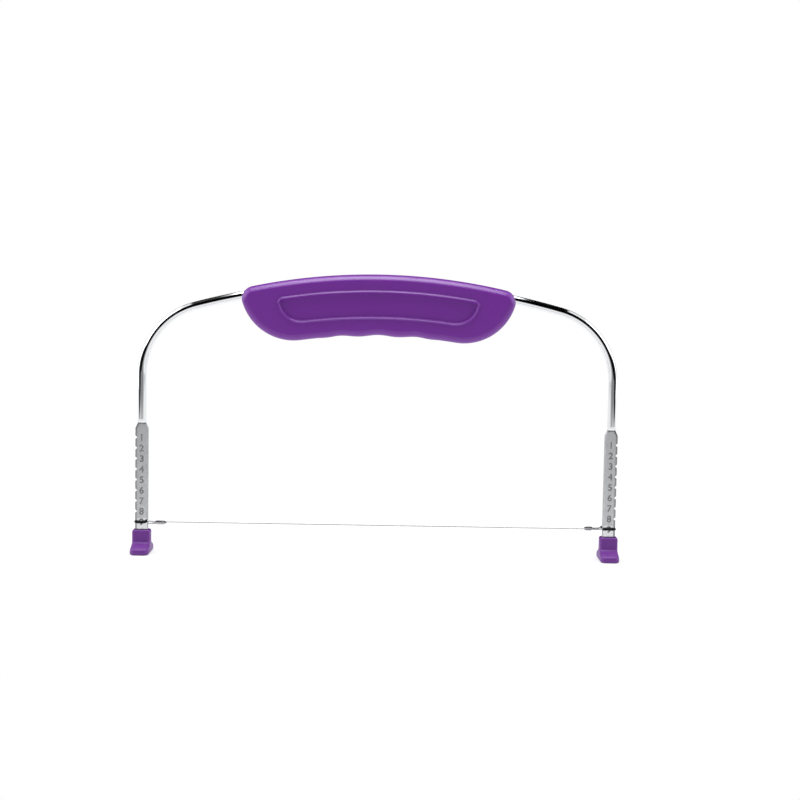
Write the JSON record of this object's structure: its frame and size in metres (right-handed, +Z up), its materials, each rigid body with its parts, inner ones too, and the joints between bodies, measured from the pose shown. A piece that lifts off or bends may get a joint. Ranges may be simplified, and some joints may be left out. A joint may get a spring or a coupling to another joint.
{
  "type": "cake leveler",
  "caption": "Cake leveler: an arched rod bow with a contoured grip, notched flat legs on T-shaped feet, and a height-adjustable cutting wire with looped ends.",
  "frame": {"origin": "on the table, midway between the two feet, in the plane of the bow", "axes": "+X along the cutting wire, to the right when the bow is seen from the front; +Y away from the viewer, through the bow; +Z up"},
  "size_m": [0.273, 0.024, 0.158],
  "materials": {
    "rod_chrome": "bright plated",
    "grip_plastic": "satin moulded, purple",
    "foot_plastic": "satin moulded, purple",
    "screw_steel": "zinc plated",
    "wire_steel": "drawn, bright",
    "ferrule_metal": "crimped, dull",
    "sleeve_black": "matt, black"
  },
  "bodies": {
    "frame": {"bow_rod": "rod_chrome", "left_foot": "foot_plastic", "right_foot": "foot_plastic", "handle_front_shell": "grip_plastic", "handle_rear_shell": "grip_plastic", "handle_screws": "screw_steel"},
    "wire": {"cutting_wire": "wire_steel", "left_ferrule": "ferrule_metal", "right_ferrule": "ferrule_metal", "left_wire_loop": "wire_steel", "right_wire_loop": "wire_steel", "left_loop_sleeve": "sleeve_black", "right_loop_sleeve": "sleeve_black"}
  },
  "joints": [
    {"name": "wire_height", "type": "slide", "parent": "frame", "child": "wire", "axis": [0, 0, 1], "range_m": [0, 0.0476], "deforming": ["left_wire_loop", "right_wire_loop", "left_loop_sleeve", "right_loop_sleeve"]}
  ]
}
